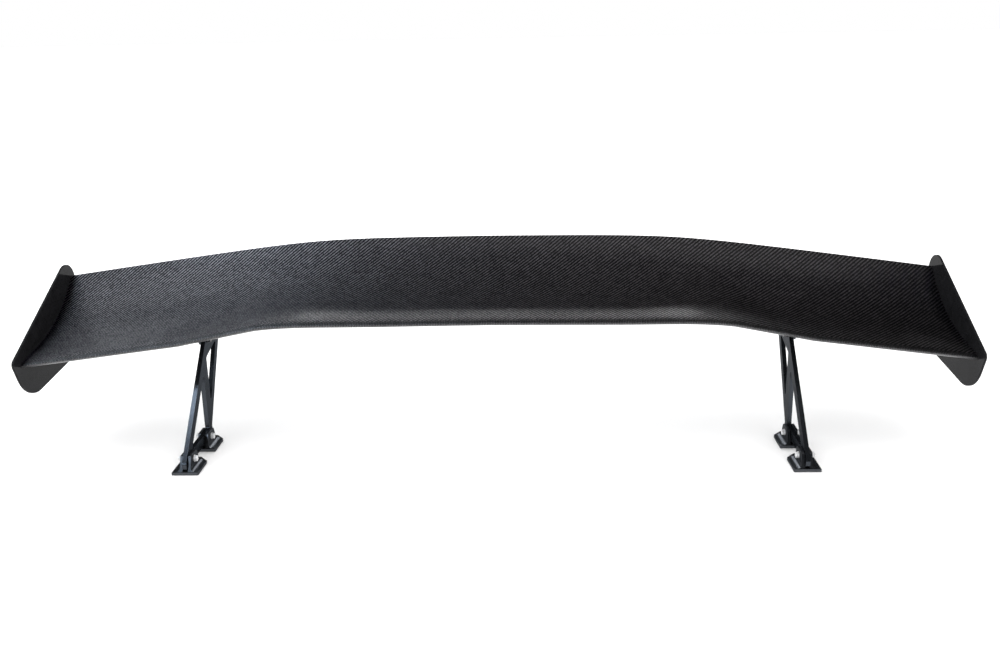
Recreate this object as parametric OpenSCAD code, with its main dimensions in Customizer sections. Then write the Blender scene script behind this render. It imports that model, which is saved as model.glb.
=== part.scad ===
// Racing rear wing: a hollow carbon-fibre aerofoil with drooped outer panels and
// end plates, on two truss uprights that stand on four swivelling clevis feet.
// Millimetres. +Z is up, +Y points rearwards along the air flow, and left is -X,
// as seen by someone who faces the leading edge. The origin is on the ground,
// under the middle of the whole wing.

/* [Aerofoil] */
// Span between the end plates
wing_span = 1684; // [1600:2:1800]
// Distance of the leading edge behind the front of the feet
nose_y = 72; // [66:1:80]
// Height of the leading edge at the centre
nose_z = 251; // [248:1:258]
// Distance of the trailing edge behind the front of the feet
tail_y = 321; // [310:1:330]
// Height of the trailing edge at the centre
tail_z = 356; // [350:1:362]
// Greatest thickness as a share of the chord
thickness_ratio = 0.095; // [0.085:0.005:0.105]
// Depth of the hollow mean line as a share of the chord
camber_ratio = 0.13; // [0.12:0.005:0.14]
// Wall thickness of the upper and lower skins
skin_t = 1.2; // [1:0.1:1.4]

/* [Droop] */
// Fall of the leading edge for each millimetre of span, outboard
nose_slope = 0.1325; // [0.12:0.0025:0.14]
// Distance from the centre at which the leading edge starts to fall
nose_knee = 303; // [280:1:320]
// Fall of the trailing edge for each millimetre of span, outboard
tail_slope = 0.142; // [0.13:0.001:0.15]
// Distance from the centre at which the trailing edge starts to fall
tail_knee = 344; // [320:1:360]
// Distance from the centre of the shoulder crease
shoulder_x = 422; // [400:1:430]
// Width of the shoulder facet along the leading edge
shoulder_w = 145; // [120:1:160]
// Extra slope of the shoulder facet
shoulder_slope = 0.076; // [0.05:0.002:0.09]

/* [End plates] */
// Thickness of an end plate
plate_t = 4; // [3:0.5:6]
// Distance of the plates' rear edge behind the front of the feet
plate_back = 341; // [335:1:350]
// Height of the plates' lower edge at the front
plate_low = 110; // [105:1:125]

/* [Uprights] */
// Distance of each upright from the centre
upright_x = 543; // [535:1:550]
// Thickness of an upright
upright_t = 8; // [6:0.5:8]
// Distance of the pivot bolt behind the front of the feet
pivot_y = 187; // [185:1:189]
// Height of the pivot bolt
pivot_z = 195; // [194:1:197]
// Distance from the pivot bolt to the adjuster bolt
adjuster_r = 68; // [66:1:69]
// Turn of the wing below its rest angle, in degrees
turn_down = 8; // [4:1:8]
// Turn of the wing above its rest angle, in degrees
turn_up = 4; // [2:1:4]

/* [Feet] */
// Width of a foot
foot_w = 47; // [44:1:60]
// Length of a foot
foot_l = 70; // [66:1:74]
// Thickness of a foot's base
foot_t = 5; // [4:0.5:5]
// Distance between the front feet and the rear feet
foot_pitch = 105; // [100:1:108]
// Distance between the two tapped holes of a foot
foot_hole_pitch = 40; // [36:1:44]

/* [Hidden] */

$fn = 48;
left = -1;
right = 1;
half_span = wing_span / 2;

// Stations along the span and around the section
span_steps = 20;
section_steps = 12;
// Softness of the bend at the start of the droop
knee_w = 115;
// Reach of the shoulder towards the centre, and along the chord
shoulder_reach = 130;
shoulder_chord = 0.76;
// Half thickness of the trailing edge as a share of the chord
tail_gap = 0.0038;
// Aft loading of the mean line
camber_aft = 0.1;

// Nose band: thickness, and the section steps it reaches round the nose on each side
band_t = 0.4;
band_steps = 2;

// Spars: chord positions and thickness
main_spar_u = 0.293;
rear_spar_u = 0.74;
spar_t = 2.5;
bond_gap = 0.3;

// Ribs
tip_rib_t = 10;
mount_rib_t = 6;
rib_gap = 1;
mount_rib_gap = 0.3;
mount_rib_from = 0.33;
mount_rib_to = 0.71;
// The rib's tongue: corner radius round the bolts, and the play of its slot in the skin
lug_r = 12;
slot_play = 0.5;

// Fasteners: shank radius, head or nut width across corners, and heights
m6_r = 3;
m6_hex_r = 5.77;
m6_head_h = 4;
m6_nut_h = 5;
m8_r = 4;
m8_hex_r = 7.5;
m8_nut_h = 6.5;
button_m6_r = 5.25;
button_m6_h = 3.3;
button_m8_r = 7;
button_m8_h = 4.4;
washer_t = 1.6;
washer_m6_r = 6;
washer_m8_r = 8;
thread_end = 2;
running_gap = 0.05;
side_gap = 0.1;

// End-plate screws: places along the mean line of the tip section
screw_places = [0.16, 0.42, 0.68];
insert_r = 4.5;
insert_l = 9;

// Feet: ear faces, ear height, its ends at the base and at the top, fillet, bolt place
// and rear chamfer
slot_w = 9;
ear_t = 5;
ear_top = 31;
ear_base_ends = [2, 57];
ear_top_ends = [13, 46];
ear_corner_r = 7;
ear_fillet = 8;
foot_bolt_y = 29;
foot_bolt_z = 20;
chamfer_x = 15;
chamfer_y = 17;
tap_r = 2.5;
foot_hole_y = 14;

// Uprights: strut widths measured level, and their run along Y for each millimetre of height
front_lean = 0.985;
rear_lean = 0.62;
front_strut_w = 27;
rear_strut_w = 19;
// A point of the rear strut's back edge
rear_edge_y = 160;
rear_edge_z = 28;
post_y = 144;
post_w = 25;
// Bottom rail: underside at the feet and between them, upper side, and rear end
rail_low = 8.5;
rail_arch = 12.5;
rail_arch_from = 66;
rail_top = 31;
rail_end = 165;
rail_end_z = 16;
// Head: underside, height over the pivot bolt, rise towards the rear, and its corners
head_low = 163;
head_over = 12;
head_rise = 0.35;
head_front_z = 207;
head_rear_z = 226;
head_rear_y = 264;
rear_window_z = 180;
window_r = 3;

// Angle of the adjuster bolt above the pivot bolt
adjuster_a = 17;

// ---- Curves of the aerofoil ----

// Rises from 0 to a slope of 1, softly over the width w
function ramp(a, w) = (a + sqrt(a * a + w * w)) / 2;
function droop(x, slope, knee) = slope * (ramp(abs(x) - knee, knee_w) - ramp(-knee, knee_w));
function nose_point(x) = [nose_y, nose_z - droop(x, nose_slope, nose_knee)];
function tail_point(x) = [tail_y, tail_z - droop(x, tail_slope, tail_knee)];

// The shoulder keeps the nose level up to its crease, then drops over a triangular facet
function shoulder_width(u) = shoulder_w * max(0, 1 - u / shoulder_chord);
function shoulder(x, u) = let (out = abs(x) - shoulder_x) shoulder_slope * (
    out > 0 ? max(0, shoulder_width(u) - out)
            : shoulder_width(u) * exp(-pow(out / shoulder_reach, 2)));

// Section in units of chord: t runs from 0 at the nose to 1 along the top and -1 along the bottom
function along(t) = 1 - cos(90 * t);
function half_thickness(u) = thickness_ratio / 0.153 * (0.2 * sqrt(u) - 0.0291 * u
    - 0.3516 * pow(u, 2) + 0.2843 * pow(u, 3) - 0.1015 * pow(u, 4)) + tail_gap * u;
function mean_line(u) = -4 * camber_ratio * u * (1 - u) * (1 + camber_aft * (u - 0.5));
function profile(t) = let (u = along(t)) [u, mean_line(u) + sign(t) * half_thickness(u)];
function unit(v) = v / norm(v);
function inward(t) = let (d = unit(profile(t + 0.001) - profile(t - 0.001))) [d.y, -d.x];

// A point of the section at span x, given in units of chord
function at_section(x, q) = let (a = nose_point(x), c = tail_point(x) - a)
    [x, a.x + q.x * c.x - q.y * c.y, a.y + q.x * c.y + q.y * c.x + shoulder(x, q.x)];
function chord(x) = norm(tail_point(x) - nose_point(x));
function skin_point(x, t, inset) = at_section(x, profile(t) + inward(t) * inset / chord(x));
function side_view(p) = [p.y, p.z];

function stations(reach) = [for (i = [-span_steps:span_steps]) reach * i / span_steps];
function steps(a, b, n) = [for (i = [0:n]) a + (b - a) * i / n];

// Chord position back to section parameter
function turn_of(u) = acos(1 - u) / 90;

// ---- Outline with rounded corners: each corner is [y, z, radius] ----

// Longest straight piece of a rounded corner
corner_step = 3;
function corner(a, p, b, r) = let (
    u = unit(a - p), v = unit(b - p), half = acos(u * v) / 2,
    c = p + unit(u + v) * r / sin(half),
    s = p + u * r / tan(half) - c, e = p + v * r / tan(half) - c,
    a0 = atan2(s.y, s.x), raw = atan2(e.y, e.x) - a0,
    da = raw > 180 ? raw - 360 : raw < -180 ? raw + 360 : raw,
    n = max(2, ceil(abs(da) / 12), ceil(abs(da) * r * PI / 180 / corner_step)))
    [for (k = [0:n]) c + r * [cos(a0 + da * k / n), sin(a0 + da * k / n)]];
function xy(p) = [p[0], p[1]];
function rounded(ps) = let (n = len(ps)) [for (i = [0:n - 1])
    each (ps[i][2] > 0
        ? corner(xy(ps[(i + n - 1) % n]), xy(ps[i]), xy(ps[(i + 1) % n]), ps[i][2])
        : [xy(ps[i])])];

// Side view of an end plate. Its upper edge is one straight line from nose to rear corner.
plate_rise = 0.483;
plate_nose = [43, 193.3];
plate_outline = rounded([
    [plate_nose.x, plate_nose.y, 10],
    [80, plate_low, 74],
    [plate_back - 12, plate_low + 25, 30],
    [plate_back, plate_nose.y + plate_rise * (plate_back - plate_nose.x), 38]]);
depth = max([for (p = plate_outline) p.x]);

// ---- Shared shapes ----

// Everything is drawn from the front edge of the front feet, then centred
module placed() {
    translate([0, -depth / 2, 0]) children();
}

// A side-view outline made into a plate from x0 to x1
module side_plate(x0, x1) {
    translate([min(x0, x1), 0, 0]) rotate([90, 0, 90]) linear_extrude(abs(x1 - x0)) children();
}

// A round bar along X from x0 to x1
module bar(x0, x1, y, z, r) {
    translate([min(x0, x1), y, z]) rotate([0, 90, 0]) cylinder(r = r, h = abs(x1 - x0));
}

module hex_bar(x0, x1, y, z, r) {
    translate([min(x0, x1), y, z]) rotate([0, 90, 0]) cylinder(r = r, h = abs(x1 - x0), $fn = 6);
}

// A closed sheet over a grid of spanwise rows: outer(x, t) to inner(x, t)
module sheet(outer, inner) {
    rows = len(outer);
    cols = len(outer[0]);
    function at(i, j, k) = (i * cols + j) * 2 + k;
    function quad(a, b, c, d) = [[a, b, c], [a, c, d]];
    polyhedron(
        points = [for (i = [0:rows - 1]) for (j = [0:cols - 1]) each [outer[i][j], inner[i][j]]],
        faces = [
            for (i = [0:rows - 2]) for (j = [0:cols - 2]) each concat(
                quad(at(i, j, 0), at(i, j + 1, 0), at(i + 1, j + 1, 0), at(i + 1, j, 0)),
                quad(at(i, j, 1), at(i + 1, j, 1), at(i + 1, j + 1, 1), at(i, j + 1, 1))),
            for (i = [0:rows - 2]) each concat(
                quad(at(i, 0, 0), at(i + 1, 0, 0), at(i + 1, 0, 1), at(i, 0, 1)),
                quad(at(i, cols - 1, 0), at(i, cols - 1, 1), at(i + 1, cols - 1, 1),
                    at(i + 1, cols - 1, 0))),
            for (j = [0:cols - 2]) each concat(
                quad(at(0, j, 0), at(0, j, 1), at(0, j + 1, 1), at(0, j + 1, 0)),
                quad(at(rows - 1, j, 0), at(rows - 1, j + 1, 0), at(rows - 1, j + 1, 1),
                    at(rows - 1, j, 1)))
        ]);
}

// The part of the section wall from t0 to t1, between two insets
module wall(t0, t1, n, inset_out, inset_in, reach) {
    xs = stations(reach);
    ts = steps(t0, t1, n);
    sheet([for (x = xs) [for (t = ts) skin_point(x, t, inset_out)]],
        [for (x = xs) [for (t = ts) skin_point(x, t, inset_in)]]);
}

// A web between the skins at the chord position u
module web(u, reach) {
    xs = stations(reach);
    gap = skin_t + bond_gap;
    half = spar_t / 2 / (tail_y - nose_y);
    function edge(x, v) = [skin_point(x, -turn_of(v), gap), skin_point(x, turn_of(v), gap)];
    sheet([for (x = xs) edge(x, u - half)], [for (x = xs) edge(x, u + half)]);
}

// Side view of a rib between the chord positions u0 and u1
module rib_shape(x, u0, u1) {
    gap = skin_t + rib_gap;
    t0 = turn_of(u0);
    t1 = turn_of(u1);
    polygon(concat(
        [for (t = steps(t0, t1, 10)) side_view(skin_point(x, t, gap))],
        [for (t = steps(-t1, -t0, 10)) side_view(skin_point(x, t, gap))]));
}

function screw_place(u) = side_view(at_section(half_span, [u, mean_line(u)]));

module at_each_screw() {
    for (side = [left, right])
        for (u = screw_places)
            let (p = screw_place(u))
                translate([0, p.x, p.y])
                    mirror([side < 0 ? 1 : 0, 0, 0]) children();
}

module at_each_upright() {
    for (side = [left, right]) mirror([side < 0 ? 1 : 0, 0, 0]) translate([upright_x, 0, 0]) children();
}

// ---- Aerofoil ----

module upper_skin() {
    color([0.07, 0.07, 0.08]) placed() wall(0, 1, section_steps, 0, skin_t, half_span);
}

module lower_skin() {
    inner_face = upright_x + upright_t / 2 + mount_rib_gap;
    slot_from = side_view(skin_point(inner_face, -turn_of(mount_rib_from), 0)).x;
    slot_to = side_view(skin_point(inner_face, -turn_of(mount_rib_to), 0)).x;
    color([0.07, 0.07, 0.08]) placed() difference() {
        wall(-1, 0, section_steps, 0, skin_t, half_span);
        at_each_upright()
            translate([upright_t / 2 + mount_rib_gap - slot_play, slot_from - slot_play, pivot_z])
                cube([mount_rib_t + 2 * slot_play, slot_to - slot_from + 2 * slot_play, 80]);
    }
}

module nose_band() {
    reach = band_steps / section_steps;
    color([0.1, 0.1, 0.11]) placed() wall(-reach, reach, 2 * band_steps, -band_t, 0, half_span);
}

module main_spar() {
    color([0.12, 0.12, 0.12]) placed() web(main_spar_u, half_span - tip_rib_t - bond_gap);
}

module rear_spar() {
    color([0.12, 0.12, 0.12]) placed() web(rear_spar_u, half_span - tip_rib_t - bond_gap);
}

module tip_rib(side) {
    color("silver") placed() difference() {
        side_plate(side * (half_span - tip_rib_t), side * half_span)
            rib_shape(side * (half_span - tip_rib_t / 2), 0.03, 0.86);
        at_each_screw() bar(half_span - insert_l, half_span + 1, 0, 0, insert_r);
    }
}

module left_tip_rib() {
    tip_rib(left);
}

module right_tip_rib() {
    tip_rib(right);
}

module tip_inserts() {
    color("gold") placed() at_each_screw() difference() {
        bar(half_span - insert_l, half_span, 0, 0, insert_r);
        bar(half_span - insert_l - 1, half_span + 1, 0, 0, m6_r + running_gap);
    }
}

// ---- Adjustable mounting ----

function adjuster_place(a) = [pivot_y + adjuster_r * cos(a), pivot_z + adjuster_r * sin(a)];

// The rib's tongue passes through the lower skin and lies against the upright's outer face
module mount_rib(side) {
    x = upright_x + upright_t / 2 + mount_rib_gap;
    a = adjuster_place(adjuster_a);
    top_front = side_view(skin_point(x, -turn_of(mount_rib_from), skin_t + rib_gap));
    top_rear = side_view(skin_point(x, -turn_of(mount_rib_to), skin_t + rib_gap));
    color([0.12, 0.13, 0.14]) placed() difference() {
        union() {
            side_plate(side * x, side * (x + mount_rib_t))
                rib_shape(x + mount_rib_t / 2, mount_rib_from, mount_rib_to);
            side_plate(side * x, side * (x + mount_rib_t)) polygon(rounded([
                [top_front.x, top_front.y + 1, 0],
                [pivot_y - lug_r, pivot_z - lug_r, lug_r],
                [pivot_y + lug_r, pivot_z - lug_r, lug_r],
                [a.x, a.y - lug_r, lug_r / 2],
                [top_rear.x, a.y - 3 * lug_r / 4, lug_r],
                [top_rear.x, top_rear.y + 3, 0]]));
        }
        bar(side * (x - 1), side * (x + mount_rib_t + 1), pivot_y, pivot_z, m8_r + running_gap);
        bar(side * (x - 1), side * (x + mount_rib_t + 1), a.x, a.y, m8_r + running_gap);
    }
}

module left_mount_rib() {
    mount_rib(left);
}

module right_mount_rib() {
    mount_rib(right);
}

// Where the outer end of a mounting bolt's stack starts, from the middle of the upright
stack_out = upright_t / 2 + mount_rib_gap + mount_rib_t;

module mount_bolt(p) {
    inner = -upright_t / 2 - side_gap - washer_t;
    bar(inner - button_m8_h, inner, p.x, p.y, button_m8_r);
    bar(inner, stack_out + washer_t + m8_nut_h + thread_end, p.x, p.y, m8_r);
}

module mount_washers(p) {
    for (x = [-upright_t / 2 - side_gap - washer_t, stack_out]) difference() {
        bar(x, x + washer_t, p.x, p.y, washer_m8_r);
        bar(x - 1, x + washer_t + 1, p.x, p.y, m8_r + running_gap);
    }
}

module mount_nut(p) {
    difference() {
        hex_bar(stack_out + washer_t, stack_out + washer_t + m8_nut_h, p.x, p.y, m8_hex_r);
        bar(stack_out, stack_out + washer_t + m8_nut_h + 1, p.x, p.y, m8_r + running_gap);
    }
}

module pivot_bolts() {
    color([0.15, 0.15, 0.16]) placed() at_each_upright() mount_bolt([pivot_y, pivot_z]);
}

module pivot_washers() {
    color([0.15, 0.15, 0.16]) placed() at_each_upright() mount_washers([pivot_y, pivot_z]);
}

module pivot_nuts() {
    color([0.15, 0.15, 0.16]) placed() at_each_upright() mount_nut([pivot_y, pivot_z]);
}

module adjuster_bolts() {
    color([0.15, 0.15, 0.16]) placed() at_each_upright() mount_bolt(adjuster_place(adjuster_a));
}

module adjuster_washers() {
    color([0.15, 0.15, 0.16]) placed() at_each_upright() mount_washers(adjuster_place(adjuster_a));
}

module adjuster_nuts() {
    color([0.15, 0.15, 0.16]) placed() at_each_upright() mount_nut(adjuster_place(adjuster_a));
}

// ---- End plates ----

module endplate(side) {
    color([0.09, 0.09, 0.1]) placed() difference() {
        side_plate(side * half_span, side * (half_span + plate_t)) polygon(plate_outline);
        at_each_screw() bar(half_span - 1, half_span + plate_t + 1, 0, 0, m6_r + 0.25);
    }
}

module left_endplate() {
    endplate(left);
}

module right_endplate() {
    endplate(right);
}

module endplate_screws() {
    face = half_span + plate_t + washer_t;
    color("silver") placed() at_each_screw() {
        bar(half_span - insert_l + 1, face, 0, 0, m6_r);
        bar(face, face + button_m6_h, 0, 0, button_m6_r);
    }
}

module endplate_washers() {
    face = half_span + plate_t;
    color("silver") placed() at_each_screw() difference() {
        bar(face, face + washer_t, 0, 0, washer_m6_r);
        bar(face - 1, face + washer_t + 1, 0, 0, m6_r + running_gap);
    }
}

// ---- Uprights ----

function front_edge(z) = front_lean * (z - foot_bolt_z);
function rear_edge(z) = rear_edge_y + rear_lean * (z - rear_edge_z);
function head_top(y) = pivot_z + head_over + head_rise * (y - pivot_y + 4);

// Height at the place y_at of an edge of that lean through the point [y, z]
function height_at(y_at, y, z, lean) = z + (y_at - y) / lean;

module upright_shape() {
    difference() {
        polygon(rounded([
            [2, rail_low, 3], [50, rail_low, 8], [rail_arch_from, rail_arch, 12],
            [foot_pitch + 4, rail_arch, 12], [foot_pitch + 14, rail_low, 6],
            [rail_end, rail_low, 3], [rail_end, rail_end_z, 5],
            [rear_edge(rear_edge_z + 2), rear_edge_z + 2, 14],
            [rear_edge(head_rear_z), head_rear_z, 10], [head_rear_y, head_top(head_rear_y), 8],
            [front_edge(head_front_z) + 1, head_front_z, 10], [0, foot_bolt_z, 8]]));
        // Front window, between the front strut, the post and the rail
        polygon(rounded([
            [front_edge(rail_top) + front_strut_w, rail_top, window_r],
            [post_y, rail_top, window_r],
            [post_y, height_at(post_y, front_strut_w, foot_bolt_z, front_lean), window_r]]));
        // Rear window, between the post, the rear strut and the head
        polygon(rounded([
            [post_y + post_w, height_at(post_y + post_w + rear_strut_w, rear_edge_y, rear_edge_z,
                rear_lean), window_r],
            [rear_edge(rear_window_z) - rear_strut_w, rear_window_z, window_r],
            [post_y + post_w, head_low, window_r]]));
    }
}

// The adjuster slot is an arc about the pivot, with round ends
module adjuster_slot() {
    r = m8_r + 0.15;
    from = adjuster_a - turn_down;
    to = adjuster_a + turn_up;
    function turned(radius, a) = radius * [cos(a), sin(a)];
    polygon([for (p = concat(
        [for (a = [from:1:to]) turned(adjuster_r + r, a)],
        [for (b = [15:15:165]) turned(adjuster_r, to) + turned(r, to + b)],
        [for (a = [to:-1:from]) turned(adjuster_r - r, a)],
        [for (b = [195:15:345]) turned(adjuster_r, from) + turned(r, from + b)]))
        [pivot_y, pivot_z] + p]);
}

module upright(side) {
    color([0.13, 0.14, 0.16]) placed() mirror([side < 0 ? 1 : 0, 0, 0]) translate([upright_x, 0, 0])
        difference() {
            side_plate(-upright_t / 2, upright_t / 2) difference() {
                upright_shape();
                adjuster_slot();
            }
            bar(-upright_t, upright_t, pivot_y, pivot_z, m8_r + running_gap);
            for (y = [0, foot_pitch])
                bar(-upright_t, upright_t, y + foot_bolt_y, foot_bolt_z, m6_r + running_gap);
        }
}

module left_upright() {
    upright(left);
}

module right_upright() {
    upright(right);
}

// ---- Feet ----

// Front view: a base with two ears that blend into it on their outer sides
module foot_section() {
    ear_out = slot_w / 2 + ear_t;
    function fillet(s, angles) = [for (a = angles)
        [s * (ear_out + ear_fillet * (1 - cos(a))), foot_t + ear_fillet * (1 - sin(a))]];
    polygon(concat(
        [[-foot_w / 2, 0], [foot_w / 2, 0], [foot_w / 2, foot_t]],
        fillet(1, [90:-15:0]),
        [[ear_out, ear_top], [slot_w / 2, ear_top], [slot_w / 2, foot_t],
            [-slot_w / 2, foot_t], [-slot_w / 2, ear_top], [-ear_out, ear_top]],
        fillet(-1, [0:15:90]),
        [[-foot_w / 2, foot_t]]));
}

module foot(side, y) {
    color([0.13, 0.14, 0.16]) placed() translate([side * upright_x, y, 0]) difference() {
        intersection() {
            translate([0, foot_l, 0]) rotate([90, 0, 0]) linear_extrude(foot_l) foot_section();
            side_plate(-foot_w, foot_w) union() {
                square([foot_l, foot_t]);
                polygon(rounded([
                    [ear_base_ends[0], foot_t - 1, 0], [ear_base_ends[1], foot_t - 1, 0],
                    [ear_top_ends[1], ear_top, ear_corner_r],
                    [ear_top_ends[0], ear_top, ear_corner_r]]));
            }
            linear_extrude(ear_top + 1) polygon([
                [-foot_w / 2, 0], [foot_w / 2, 0], [foot_w / 2, foot_l - chamfer_y],
                [foot_w / 2 - chamfer_x, foot_l], [chamfer_x - foot_w / 2, foot_l],
                [-foot_w / 2, foot_l - chamfer_y]]);
        }
        bar(-foot_w, foot_w, foot_bolt_y, foot_bolt_z, m6_r + running_gap);
        for (dy = [0, foot_hole_pitch])
            translate([0, foot_hole_y + dy, -1]) cylinder(r = tap_r, h = foot_t + 2);
    }
}

module left_front_foot() {
    foot(left, 0);
}

module left_rear_foot() {
    foot(left, foot_pitch);
}

module right_front_foot() {
    foot(right, 0);
}

module right_rear_foot() {
    foot(right, foot_pitch);
}

module at_each_foot() {
    at_each_upright() for (y = [0, foot_pitch]) translate([0, y + foot_bolt_y, foot_bolt_z]) children();
}

ear_face = slot_w / 2 + ear_t + side_gap;

module foot_bolts() {
    color("silver") placed() at_each_foot() {
        hex_bar(-ear_face - washer_t - m6_head_h, -ear_face - washer_t, 0, 0, m6_hex_r);
        bar(-ear_face - washer_t, ear_face + washer_t + m6_nut_h + thread_end, 0, 0, m6_r);
    }
}

module foot_washers() {
    color("silver") placed() at_each_foot() for (x = [-ear_face - washer_t, ear_face]) difference() {
        bar(x, x + washer_t, 0, 0, washer_m6_r);
        bar(x - 1, x + washer_t + 1, 0, 0, m6_r + running_gap);
    }
}

module foot_nuts() {
    color("silver") placed() at_each_foot() difference() {
        hex_bar(ear_face + washer_t, ear_face + washer_t + m6_nut_h, 0, 0, m6_hex_r);
        bar(ear_face, ear_face + washer_t + m6_nut_h + 1, 0, 0, m6_r + running_gap);
    }
}

upper_skin();
lower_skin();
nose_band();
main_spar();
rear_spar();
left_tip_rib();
right_tip_rib();
tip_inserts();
left_mount_rib();
right_mount_rib();
left_endplate();
right_endplate();
endplate_screws();
endplate_washers();
left_upright();
right_upright();
pivot_bolts();
pivot_washers();
pivot_nuts();
adjuster_bolts();
adjuster_washers();
adjuster_nuts();
left_front_foot();
left_rear_foot();
right_front_foot();
right_rear_foot();
foot_bolts();
foot_washers();
foot_nuts();
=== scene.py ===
"""Racing rear wing: carbon laminate skins, end plates, truss uprights, clevis feet and their
fasteners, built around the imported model. Metres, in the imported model's frame."""

import math

import bmesh
import bpy
import numpy as np
from mathutils import Matrix, Vector


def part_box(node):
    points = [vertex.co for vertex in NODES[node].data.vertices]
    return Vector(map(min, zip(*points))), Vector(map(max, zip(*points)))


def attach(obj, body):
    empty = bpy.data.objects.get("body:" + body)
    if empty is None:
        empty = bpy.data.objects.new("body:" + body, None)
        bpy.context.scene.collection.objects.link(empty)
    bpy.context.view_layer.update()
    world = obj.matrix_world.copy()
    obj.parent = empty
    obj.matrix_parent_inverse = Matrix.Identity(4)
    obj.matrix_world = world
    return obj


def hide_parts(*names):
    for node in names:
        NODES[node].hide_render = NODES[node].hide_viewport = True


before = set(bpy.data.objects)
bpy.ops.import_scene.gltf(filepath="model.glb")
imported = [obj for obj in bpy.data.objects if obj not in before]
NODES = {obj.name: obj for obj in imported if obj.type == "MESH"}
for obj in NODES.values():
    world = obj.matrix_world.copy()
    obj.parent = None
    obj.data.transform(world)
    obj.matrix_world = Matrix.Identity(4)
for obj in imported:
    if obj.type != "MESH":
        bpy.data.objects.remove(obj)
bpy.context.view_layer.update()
MM = 0.001

# ---- The wing's curves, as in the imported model, in millimetres ----
# Y is counted from the front edge of the front feet, and u is a share of the chord.

HALF_SPAN = 842.0
NOSE_Y, NOSE_Z = 72.0, 251.0
TAIL_Y, TAIL_Z = 321.0, 356.0
THICKNESS, CAMBER = 0.095, 0.13
SERIES_THICKNESS = 0.153
SKIN_T = 1.2
NOSE_SLOPE, NOSE_KNEE = 0.1325, 303.0
TAIL_SLOPE, TAIL_KNEE = 0.142, 344.0
KNEE_W = 115.0
SHOULDER_X, SHOULDER_W, SHOULDER_SLOPE = 422.0, 145.0, 0.076
SHOULDER_REACH, SHOULDER_CHORD = 130.0, 0.76
TAIL_GAP, CAMBER_AFT = 0.0038, 0.1
BAND_T, BAND_REACH = 0.4, 1 / 6
# The mount ribs' tongues pass through the lower skin between these places
SLOT_U0, SLOT_U1 = 0.325, 0.715
SLOT_PLAY = 0.5

# The shared frame's Y of the front edge of the front feet
FEET_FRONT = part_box("left_front_foot")[0].y


def ramp(a):
    return (a + np.sqrt(a * a + KNEE_W * KNEE_W)) / 2


def droop(x, slope, knee):
    return slope * (ramp(np.abs(x) - knee) - ramp(-knee))


def shoulder(x, u):
    out = np.abs(x) - SHOULDER_X
    width = SHOULDER_W * np.maximum(0, 1 - u / SHOULDER_CHORD)
    inner = width * np.exp(-(out / SHOULDER_REACH) ** 2)
    return SHOULDER_SLOPE * np.where(out > 0, np.maximum(0, width - out), inner)


def section(t):
    """Section in units of chord: t runs from 0 at the nose to 1 along the top, and to -1 along
    the bottom."""
    u = 1 - np.cos(np.pi / 2 * t)
    half = THICKNESS / SERIES_THICKNESS * (0.2 * np.sqrt(u) - 0.0291 * u - 0.3516 * u**2
                                           + 0.2843 * u**3 - 0.1015 * u**4) + TAIL_GAP * u
    mean = -4 * CAMBER * u * (1 - u) * (1 + CAMBER_AFT * (u - 0.5))
    return u, mean + np.sign(t) * half


def skin(x, t, inset):
    """Points of the wing at span x and section place t, inset into the section, in metres."""
    x, t = np.meshgrid(x, t, indexing="ij")
    u, v = section(t)
    step = 0.001
    du, dv = (b - a for a, b in zip(section(t - step), section(t + step)))
    size = np.hypot(du, dv)
    ay, az = NOSE_Y, NOSE_Z - droop(x, NOSE_SLOPE, NOSE_KNEE)
    cy, cz = TAIL_Y - ay, TAIL_Z - droop(x, TAIL_SLOPE, TAIL_KNEE) - az
    chord = np.hypot(cy, cz)
    u, v = u + dv / size * inset / chord, v - du / size * inset / chord
    y = ay + u * cy - v * cz
    z = az + u * cz + v * cy + shoulder(x, u)
    return np.stack([x * MM, y * MM + FEET_FRONT, z * MM], -1)


# ---- Meshes ----

# Edges sharper than this stay sharp in a laminate
CREASE = math.radians(35)


def spread(*stops):
    """Evenly spaced numbers between stops: value, count, value, count, value."""
    out = [np.array([stops[0]])]
    for k in range(1, len(stops), 2):
        out.append(np.linspace(stops[k - 1], stops[k + 1], stops[k] + 1)[1:])
    return np.concatenate(out)


def mirrored(values):
    return np.concatenate([-values[:0:-1], values])


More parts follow.
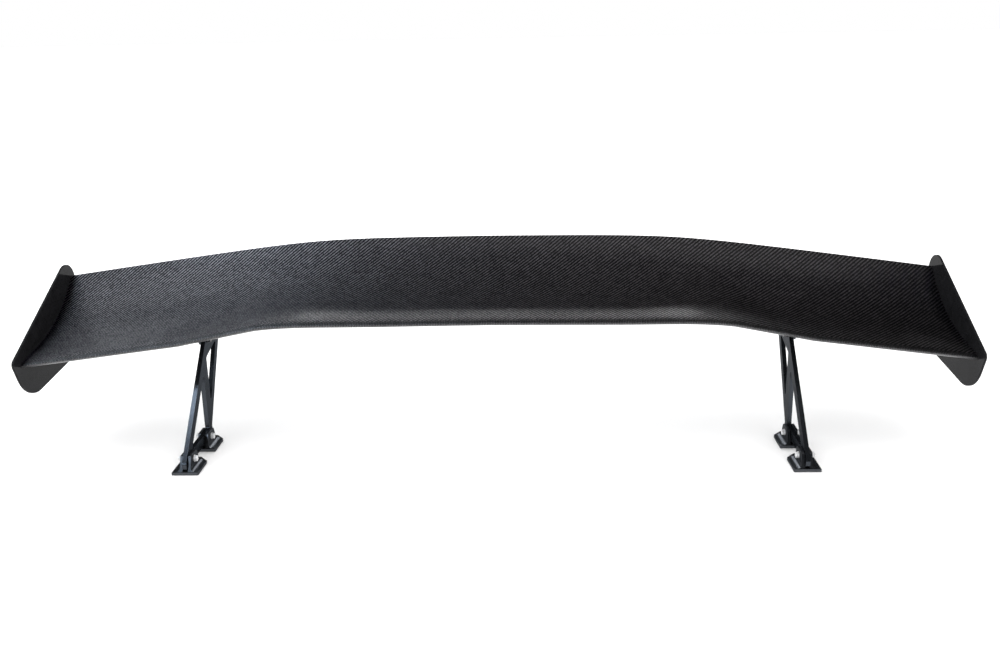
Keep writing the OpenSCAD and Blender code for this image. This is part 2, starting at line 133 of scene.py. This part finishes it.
def laminate(name, xs, ts, outset, inset, body, holes=()):
    """A closed sheet between two insets of the section, with its cloth laid along the span and
    the chord. holes are (x0, x1, t0, t1) openings right through it, on grid lines."""
    outer, inner = skin(xs, ts, outset), skin(xs, ts, inset)
    rows, cols = outer.shape[:2]
    top = np.arange(rows * cols).reshape(rows, cols)
    low = top + rows * cols
    mid_x, mid_t = (xs[:-1] + xs[1:]) / 2, (ts[:-1] + ts[1:]) / 2
    solid = np.ones((rows - 1, cols - 1), bool)
    for x0, x1, t0, t1 in holes:
        inside_x, inside_t = (mid_x > x0) & (mid_x < x1), (mid_t > t0) & (mid_t < t1)
        solid &= ~(inside_x[:, None] & inside_t[None, :])
    faces = []
    for i, j in zip(*np.nonzero(solid)):
        faces.append((top[i, j], top[i, j + 1], top[i + 1, j + 1], top[i + 1, j]))
        faces.append((low[i, j], low[i + 1, j], low[i + 1, j + 1], low[i, j + 1]))
    # Walls round the sheet and its openings
    padded = np.pad(solid, 1)
    for i, j in zip(*np.nonzero(solid)):
        sides = ((-1, 0, (i, j + 1), (i, j)), (1, 0, (i + 1, j), (i + 1, j + 1)),
                 (0, -1, (i, j), (i + 1, j)), (0, 1, (i + 1, j + 1), (i, j + 1)))
        for di, dj, (a, b), (c, d) in sides:
            if not padded[i + 1 + di, j + 1 + dj]:
                faces.append((top[c, d], top[a, b], low[a, b], low[c, d]))
    # The cloth's own coordinates: along the span, and round the section from the nose
    run = np.zeros((rows, cols))
    run[:, 1:] = np.cumsum(np.linalg.norm(np.diff(outer, axis=1), axis=2), axis=1)
    run -= run[:, [int(np.argmin(np.abs(ts)))]]
    across = np.broadcast_to(xs[:, None] * MM, (rows, cols))
    cloth = np.stack([across, run, np.zeros_like(run)], -1).reshape(-1, 3)
    points = np.concatenate([outer.reshape(-1, 3), inner.reshape(-1, 3)])
    mesh = bpy.data.meshes.new(name)
    mesh.from_pydata(points.tolist(), [], [tuple(int(v) for v in f) for f in faces])
    mesh.update()
    attribute = mesh.attributes.new("cloth", "FLOAT_VECTOR", "POINT")
    attribute.data.foreach_set("vector", np.concatenate([cloth, cloth]).astype(np.float32).ravel())
    # The openings leave vertices that no face uses
    used = np.zeros(len(mesh.vertices), bool)
    used[np.array([v for f in faces for v in f])] = True
    if not used.all():
        bm = bmesh.new()
        bm.from_mesh(mesh)
        bm.verts.ensure_lookup_table()
        bmesh.ops.delete(bm, geom=[bm.verts[int(k)] for k in np.nonzero(~used)[0]], context="VERTS")
        bm.to_mesh(mesh)
        bm.free()
    mesh.polygons.foreach_set("use_smooth", [True] * len(mesh.polygons))
    mesh.set_sharp_from_angle(angle=CREASE)
    piece = bpy.data.objects.new(name, mesh)
    bpy.context.scene.collection.objects.link(piece)
    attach(piece, body)
    return piece


# ---- Materials ----

class Tree:
    """Short names for building a material's nodes."""

    def __init__(self, tree):
        self.tree = tree

    def node(self, kind, **values):
        made = self.tree.nodes.new(kind)
        for key, value in values.items():
            setattr(made, key, value)
        return made

    def put(self, socket, value):
        if isinstance(value, bpy.types.NodeSocket):
            self.tree.links.new(value, socket)
        else:
            socket.default_value = value

    def math(self, operation, *values, clamp=False):
        made = self.node("ShaderNodeMath", operation=operation, use_clamp=clamp)
        for socket, value in zip(made.inputs, values):
            self.put(socket, value)
        return made.outputs[0]

    def mix(self, factor, a, b):
        """Mix of two numbers."""
        made = self.node("ShaderNodeMix", data_type="FLOAT")
        for socket, value in zip(made.inputs, (factor, None, a, b)):
            if value is not None:
                self.put(socket, value)
        return made.outputs[0]

    def tint(self, factor, a, b, blend="MIX"):
        """Mix of two colours."""
        made = self.node("ShaderNodeMix", data_type="RGBA", blend_type=blend)
        self.put(made.inputs[0], factor)
        self.put(made.inputs[6], a)
        self.put(made.inputs[7], b)
        return made.outputs[2]

    def noise(self, vector, scale, detail=3.0, roughness=0.55):
        made = self.node("ShaderNodeTexNoise")
        self.put(made.inputs["Vector"], vector)
        self.put(made.inputs["Scale"], scale)
        self.put(made.inputs["Detail"], detail)
        self.put(made.inputs["Roughness"], roughness)
        return made.outputs["Fac"]

    def vector(self, x, y, z=0.0):
        made = self.node("ShaderNodeCombineXYZ")
        for socket, value in zip(made.inputs, (x, y, z)):
            self.put(socket, value)
        return made.outputs[0]

    def split(self, vector):
        made = self.node("ShaderNodeSeparateXYZ")
        self.put(made.inputs[0], vector)
        return made.outputs

    def span(self, value, low, high, to_low=0.0, to_high=1.0):
        made = self.node("ShaderNodeMapRange")
        for socket, v in zip(made.inputs, (value, low, high, to_low, to_high)):
            self.put(socket, v)
        return made.outputs[0]

    def bump(self, height, distance, strength=1.0, normal=None):
        made = self.node("ShaderNodeBump")
        self.put(made.inputs["Strength"], strength)
        self.put(made.inputs["Distance"], distance)
        self.put(made.inputs["Height"], height)
        if normal is not None:
            self.put(made.inputs["Normal"], normal)
        return made.outputs[0]


def material(name):
    made = bpy.data.materials.new(name)
    made.use_nodes = True
    return made, Tree(made.node_tree), made.node_tree.nodes["Principled BSDF"]


def metres(t):
    """The frame's coordinates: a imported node's object sits at the origin."""
    return t.node("ShaderNodeTexCoord").outputs["Object"]


# How much a tow's surface falls across its width and along its run over the others
TOW_CROWN, RUN_CROWN = 0.7, 0.55
# Fineness of the fibre noise, along and across a tow
ALONG_FIBRE, ACROSS_FIBRE = 0.35, 9.0


def twill(t, a, b, tow):
    """2x2 twill of tows of that width: its height, 1 where the tow along b is on top, noise along
    the fibres, and a random number for each crossing."""
    a, b = t.math("DIVIDE", a, tow), t.math("DIVIDE", b, tow)
    fa, fb = t.math("FRACT", a), t.math("FRACT", b)
    ia, ib = t.math("FLOOR", a), t.math("FLOOR", b)
    step = t.math("FLOORED_MODULO", t.math("SUBTRACT", ia, ib), 4.0)
    warp = t.math("LESS_THAN", step, 1.5)

    def crown(f, amount):
        off = t.math("MULTIPLY_ADD", f, 2.0, -1.0)
        return t.math("MULTIPLY_ADD", t.math("MULTIPLY", off, off), -amount, 1.0)

    warp_run = t.math("MULTIPLY", t.math("SUBTRACT", t.math("ADD", fb, 1.0), step), 0.5)
    weft_run = t.math("MULTIPLY", t.math("SUBTRACT", t.math("ADD", fa, step), 2.0), 0.5)
    height = t.mix(warp,
                   t.math("MULTIPLY", crown(fb, TOW_CROWN), crown(weft_run, RUN_CROWN)),
                   t.math("MULTIPLY", crown(fa, TOW_CROWN), crown(warp_run, RUN_CROWN)))

    def streaks(fine_a, fine_b):
        place = t.vector(t.math("MULTIPLY", a, fine_a), t.math("MULTIPLY", b, fine_b))
        return t.noise(place, 1.0)

    fibres = t.mix(warp, streaks(ALONG_FIBRE, ACROSS_FIBRE), streaks(ACROSS_FIBRE, ALONG_FIBRE))
    luck = t.node("ShaderNodeTexWhiteNoise")
    t.put(luck.inputs["Vector"], t.vector(ia, ib, 0.0))
    return height, warp, fibres, luck.outputs["Value"]


# weft_painted_sheen and warp colour the tows along each direction: bright weft and dark warp are a
# painted sheen, fixed on the tows whatever the light
def carbon(name, cloth, fibre, tow=0.002, weft_painted_sheen=(0.57, 0.55, 0.58), warp=(0.010, 0.010, 0.011),
           coat=0.32, coat_roughness=0.2, relief=0.00022, metal=1.0, gloss=0.5, glance=1.0):
    """Carbon laminate under clear lacquer. cloth(t) gives places along the cloth's two
    directions, in metres, and fibre is those directions. The fibres are metallic and spread
    light across themselves. glance dims what they mirror at glancing angles."""
    made, t, shader = material(name)
    a, b = cloth(t)
    height, up, fibres, luck = twill(t, a, b, tow)
    # Some tows, the gaps between fibres and patches rich in resin are darker; the low places
    # between tows are darkened too, as painted shade
    patch = t.noise(metres(t), 60.0, 4.0)
    # Painted sheen: the weft tows are coloured bright and the warp tows dark
    shade = t.tint(up, (*weft_painted_sheen, 1), (*warp, 1))
    dull = t.math("MULTIPLY", t.math("POWER", luck, 2.0), 0.7)
    shade = t.tint(dull, shade, (0.01, 0.01, 0.011, 1))
    shade = t.tint(t.span(fibres, 0.3, 0.7, 0.0, 0.7), shade, (0.02, 0.02, 0.022, 1))
    shade = t.tint(t.span(patch, 0.35, 0.7, 0.0, 0.25), shade, (0.03, 0.03, 0.033, 1))
    # Painted shade: darker towards the low places between tows
    shade = t.tint(t.span(height, 0.05, 0.75, 0.85, 0.0), shade, (0.004, 0.004, 0.004, 1))
    t.put(shader.inputs["Base Color"], shade)
    t.put(shader.inputs["Roughness"], t.mix(t.span(fibres, 0.3, 0.7), 0.46, 0.62))
    t.put(shader.inputs["Tangent"], t.tint(up, (*fibre[1], 1), (*fibre[0], 1)))
    shader.inputs["Anisotropic"].default_value = 0.75
    shader.inputs["Metallic"].default_value = metal
    shader.inputs["Specular IOR Level"].default_value = gloss
    shader.inputs["Specular Tint"].default_value = (glance, glance, glance, 1)
    shader.inputs["Coat Weight"].default_value = coat
    shader.inputs["Coat Roughness"].default_value = coat_roughness
    shader.inputs["Coat IOR"].default_value = 1.5
    relief_normal = t.bump(t.math("ADD", height, t.math("MULTIPLY", fibres, 0.12)), relief, 1.0)
    t.put(shader.inputs["Normal"], relief_normal)
    # The lacquer levels most of the weave out, and leaves a faint orange peel
    peel = t.noise(metres(t), 420.0, 2.0)
    levelled = t.bump(height, relief * 0.06, 1.0)
    t.put(shader.inputs["Coat Normal"], t.bump(peel, 0.00003, 1.0, levelled))
    return made


def along_skin(t):
    spread_out = t.split(t.node("ShaderNodeAttribute", attribute_name="cloth").outputs["Vector"])
    return spread_out[0], spread_out[1]


def along_plate(t):
    place = t.split(metres(t))
    return place[1], place[2]


def along_web(t):
    place = t.split(metres(t))
    return place[0], place[2]


def bias(cloth):
    """The same cloth turned by 45 degrees."""
    def turned(t):
        a, b = cloth(t)
        return (t.math("MULTIPLY", t.math("ADD", a, b), math.sqrt(0.5)),
                t.math("MULTIPLY", t.math("SUBTRACT", b, a), math.sqrt(0.5)))
    return turned


GRAIN = 0.00002


def coated_metal(name, colour, roughness, metallic, wear=0.0, glance=1.0):
    """Anodised metal: fine grain, uneven sheen, and edges worn towards bare metal. glance dims
    what it mirrors at glancing angles."""
    made, t, shader = material(name)
    place = metres(t)
    grit = t.noise(place, 2600.0, 2.0)
    cloud = t.noise(place, 32.0, 5.0)
    edge = t.node("ShaderNodeNewGeometry").outputs["Pointiness"]
    rub = t.math("MULTIPLY", t.span(edge, 0.52, 0.60), t.span(t.noise(place, 90.0, 4.0), 0.45, 0.7))
    rub = t.math("MULTIPLY", rub, wear)
    base = t.tint(t.span(cloud, 0.3, 0.7), (*colour, 1), (*[c * 0.85 for c in colour], 1))
    t.put(shader.inputs["Base Color"], t.tint(rub, base, (0.32, 0.33, 0.35, 1)))
    t.put(shader.inputs["Roughness"], t.mix(t.span(cloud, 0.3, 0.7), roughness, roughness + 0.04))
    shader.inputs["Metallic"].default_value = metallic
    shader.inputs["Specular Tint"].default_value = (glance, glance, glance, 1)
    shader.inputs["Specular IOR Level"].default_value = 0.5 * glance
    t.put(shader.inputs["Normal"], t.bump(grit, GRAIN, 1.0))
    return made


def bright_metal(name, colour, roughness, metallic=1.0):
    """Plated or machined metal with fine turning marks and handling marks."""
    made, t, shader = material(name)
    place = metres(t)
    xyz = t.split(place)
    marks = t.noise(t.vector(t.math("MULTIPLY", xyz[0], 6.0), xyz[1], xyz[2]), 700.0, 3.0)
    cloud = t.noise(place, 160.0, 4.0)
    t.put(shader.inputs["Base Color"],
          t.tint(t.span(cloud, 0.35, 0.7), (*colour, 1), (*[c * 0.7 for c in colour], 1)))
    t.put(shader.inputs["Roughness"], t.mix(marks, roughness, roughness + 0.2))
    shader.inputs["Metallic"].default_value = metallic
    t.put(shader.inputs["Normal"], t.bump(marks, GRAIN, 1.0))
    return made


ACROSS, REARWARDS, UPRIGHT = (1.0, 0.0, 0.0), (0.0, 1.0, 0.0), (0.0, 0.0, 1.0)
CHORDWISE = (0.0, 0.92, 0.39)
skin_cloth = carbon("skin_twill", along_skin, (ACROSS, CHORDWISE))
# Painted shade: the lower skin's cloth is a darker, less glossy copy of the upper skin's
under_cloth_painted_shade = carbon("under_twill_painted_shade", along_skin, (ACROSS, CHORDWISE), weft_painted_sheen=(0.16, 0.155, 0.165),
                     coat=0.2, glance=0.3)
band_cloth = carbon("band_twill", bias(along_skin), (ACROSS, CHORDWISE), tow=0.001,
                    weft_painted_sheen=(0.36, 0.36, 0.37), warp=(0.14, 0.14, 0.145), relief=0.0001)
plate_cloth = carbon("plate_twill", along_plate, (REARWARDS, UPRIGHT),
                     weft_painted_sheen=(0.006, 0.006, 0.007), warp=(0.002, 0.002, 0.002), metal=0.0,
                     coat=0.2, coat_roughness=0.08, gloss=0.0)
web_cloth = carbon("web_twill", along_web, (ACROSS, UPRIGHT), coat=0.2)
satin_black = coated_metal("satin_black_anodised", (0.055, 0.061, 0.070), 0.24, 0.9, glance=0.35)
# Painted light: the feet share the uprights' black anodising, coloured lighter here
foot_black_painted_light = coated_metal("satin_black_foot_painted_light", (0.085, 0.090, 0.099), 0.30, 0.9, glance=0.35)
zinc = bright_metal("zinc_plate", (0.92, 0.93, 0.94), 0.26, metallic=0.5)
oxide = coated_metal("black_oxide", (0.02, 0.02, 0.021), 0.36, 0.8, wear=0.5)
alloy = bright_metal("machined_alloy", (0.55, 0.56, 0.58), 0.34)
brass = bright_metal("brass_insert", (0.62, 0.45, 0.18), 0.28)


def paint(piece, look):
    piece.data.materials.clear()
    piece.data.materials.append(look)


# ---- Skins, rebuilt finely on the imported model's own curves ----

SPAN = mirrored(spread(0.0, 92, SHOULDER_X, 115, HALF_SPAN))
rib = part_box("right_mount_rib")
slot_x0, slot_x1 = rib[0].x / MM - SLOT_PLAY, rib[1].x / MM + SLOT_PLAY


def turn_of(u):
    """The section place t of a share of the chord."""
    return math.acos(1 - u) * 2 / math.pi


RIB_FROM, RIB_TO = turn_of(SLOT_U0), turn_of(SLOT_U1)
SPAN_LOW = mirrored(spread(0.0, 92, SHOULDER_X, 28, slot_x0, 4, slot_x1, 70, HALF_SPAN))
CHORD_TOP = spread(0.0, 72, 1.0)
CHORD_LOW = -spread(0.0, 22, RIB_FROM, 24, RIB_TO, 20, 1.0)
SLOTS = [(s0, s1, -RIB_TO, -RIB_FROM) for s0, s1 in ((slot_x0, slot_x1), (-slot_x1, -slot_x0))]

CHORD_BAND = np.linspace(-BAND_REACH, BAND_REACH, 25)
upper = laminate("upper_laminate", SPAN, CHORD_TOP, 0.0, SKIN_T, "wing")
lower = laminate("lower_laminate", SPAN_LOW, CHORD_LOW[::-1], 0.0, SKIN_T, "wing",
                 SLOTS)
band = laminate("nose_band_laminate", SPAN, CHORD_BAND, -BAND_T, 0.0, "wing")
for piece, node, look in ((upper, "upper_skin", skin_cloth), (lower, "lower_skin", under_cloth_painted_shade),
                          (band, "nose_band", band_cloth)):
    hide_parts(node)
    paint(piece, look)

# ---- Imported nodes: broken edges and their finishes ----

BEVEL_FROM = math.radians(32)
WELD = 0.01 * MM
# Each node's material, and the width of its broken edges in millimetres
FINISH = {
    "left_endplate": (plate_cloth, 0.9), "right_endplate": (plate_cloth, 0.9),
    "main_spar": (web_cloth, 0), "rear_spar": (web_cloth, 0),
    "left_tip_rib": (alloy, 0.3), "right_tip_rib": (alloy, 0.3),
    "left_mount_rib": (satin_black, 0.5), "right_mount_rib": (satin_black, 0.5),
    "tip_inserts": (brass, 0.2),
    "left_upright": (satin_black, 0.6), "right_upright": (satin_black, 0.6),
    "endplate_screws": (zinc, 0.4), "endplate_washers": (zinc, 0.2),
    "foot_bolts": (zinc, 0.35), "foot_washers": (zinc, 0.2), "foot_nuts": (zinc, 0.35),
    "pivot_bolts": (oxide, 0.5), "pivot_washers": (oxide, 0.2), "pivot_nuts": (oxide, 0.4),
    "adjuster_bolts": (oxide, 0.5), "adjuster_washers": (oxide, 0.2), "adjuster_nuts": (oxide, 0.4),
}
for end in ("left_front", "left_rear", "right_front", "right_rear"):
    FINISH[end + "_foot"] = (foot_black_painted_light, 0.5)

for name, (look, edge) in FINISH.items():
    node = NODES[name]
    paint(node, look)
    if "custom_normal" in node.data.attributes:
        node.data.attributes.remove(node.data.attributes["custom_normal"])
    node.data.polygons.foreach_set("use_smooth", [True] * len(node.data.polygons))
    weld = node.modifiers.new("weld", "WELD")
    weld.merge_threshold = WELD
    if edge:
        bevel = node.modifiers.new("broken_edges", "BEVEL")
        bevel.width = edge * MM
        bevel.segments = 3
        bevel.limit_method = "ANGLE"
        bevel.angle_limit = BEVEL_FROM
        bevel.harden_normals = True

# ---- Floor, light and camera ----

scene = bpy.context.scene
scene.view_settings.view_transform = "Standard"

FLOOR_HALF, FLOOR_Z = 40.0, -0.0005
CORNERS = ((-1, -1), (1, -1), (1, 1), (-1, 1))
floor_mesh = bpy.data.meshes.new("floor")
floor_mesh.from_pydata([(x * FLOOR_HALF, y * FLOOR_HALF, FLOOR_Z) for x, y in CORNERS],
                       [], [(0, 1, 2, 3)])
floor = bpy.data.objects.new("floor", floor_mesh)
scene.collection.objects.link(floor)
floor_look, t, shader = material("pale_floor")
clouds = t.span(t.noise(metres(t), 3.0), 0.3, 0.7)
t.put(shader.inputs["Base Color"], t.tint(clouds, (0.90, 0.90, 0.90, 1), (0.93, 0.93, 0.93, 1)))
shader.inputs["Roughness"].default_value = 0.9
paint(floor, floor_look)

world = bpy.data.worlds.new("studio")
scene.world = world
world.use_nodes = True
world.node_tree.nodes["Background"].inputs["Color"].default_value = (1.0, 1.0, 1.0, 1)
# The open room lights everything evenly; only the softboxes and the floor are mirrored
world.cycles_visibility.glossy = False


def lamp(name, kind, place, aim, energy, colour=(1.0, 1.0, 1.0), **values):
    light = bpy.data.lights.new(name, kind)
    light.energy = energy
    light.color = colour
    for key, value in values.items():
        setattr(light, key, value)
    holder = bpy.data.objects.new(name, light)
    scene.collection.objects.link(holder)
    holder.location = place
    holder.rotation_euler = (Vector(aim) - Vector(place)).to_track_quat("-Z", "Y").to_euler()
    holder.visible_camera = False
    return holder


def softbox(name, place, aim, width, depth, glow, colour=(1.0, 1.0, 1.0)):
    """A rectangle of even light; glow is how bright it looks, in the floor's own measure."""
    return lamp(name, "AREA", place, aim, glow * math.pi * width * depth, colour,
                shape="RECTANGLE", size=width, size_y=depth)


MIDDLE, LEFT_PANEL, LEFT_UPRIGHT = (0, 0, 0.25), (-0.6, 0.1, 0.25), (-0.54, 0.05, 0.1)
COOL, WARM, BLUE = (0.92, 0.96, 1.0), (1.0, 0.97, 0.95), (0.75, 0.87, 1.0)
WASH_GLOW, WASH_SPREAD = 0.6, math.radians(70)
for k, (x, y) in enumerate(((-2.0, -2.4), (2.0, -2.0), (2.2, 2.6), (-2.2, 2.6))):
    wash = lamp("wash_%d" % k, "SUN", (x, y, 3.2), MIDDLE, WASH_GLOW, angle=WASH_SPREAD)
    wash.visible_glossy = False
softbox("back_strip", (-0.08, 2.9, 1.5), MIDDLE, 2.0, 0.4, 14.0)
softbox("low_left_box", (-2.7, 2.3, 1.75), LEFT_PANEL, 1.5, 1.5, 0.75, COOL)
softbox("left_box", (-2.2, 0.15, 2.3), LEFT_PANEL, 2.3, 1.5, 1.05, COOL)
softbox("top_box", (0.3, -0.9, 4.0), MIDDLE, 5.0, 1.6, 0.95, WARM)
# Small bright boxes seen only as glints on the front edges of the left upright and its feet
GLINT_SIZE, GLINT_GLOW = 0.55, 14.0
for name, place in (("high_glint", (-1.4, -0.78, 2.4)), ("low_glint", (-1.5, -2.4, 1.4))):
    glint = softbox(name, place, LEFT_UPRIGHT, GLINT_SIZE, GLINT_SIZE, GLINT_GLOW, BLUE)
    glint.visible_diffuse = False

# The photo's viewpoint: the eye's place is counted from the front edge of the front feet
EYE_X, EYE_Y, EYE_Z = 0.0699, -1.6812, 0.7588
LENS, SENSOR = 37.8, 36.0
YAW, PITCH, ROLL = (math.radians(a) for a in (-1.845, 16.73, 1.07))
ahead = Vector((math.sin(YAW) * math.cos(PITCH), math.cos(YAW) * math.cos(PITCH), -math.sin(PITCH)))
level = Vector((math.cos(YAW), -math.sin(YAW), 0))
down = ahead.cross(level)
side = math.cos(ROLL) * level + math.sin(ROLL) * down
low = -math.sin(ROLL) * level + math.cos(ROLL) * down
camera = bpy.data.objects.new("camera", bpy.data.cameras.new("camera"))
camera.data.lens, camera.data.sensor_width = LENS, SENSOR
turn = Matrix((side, -low, -ahead)).transposed().to_4x4()
camera.matrix_world = Matrix.Translation((EYE_X, FEET_FRONT + EYE_Y, EYE_Z)) @ turn
scene.collection.objects.link(camera)
scene.camera = camera
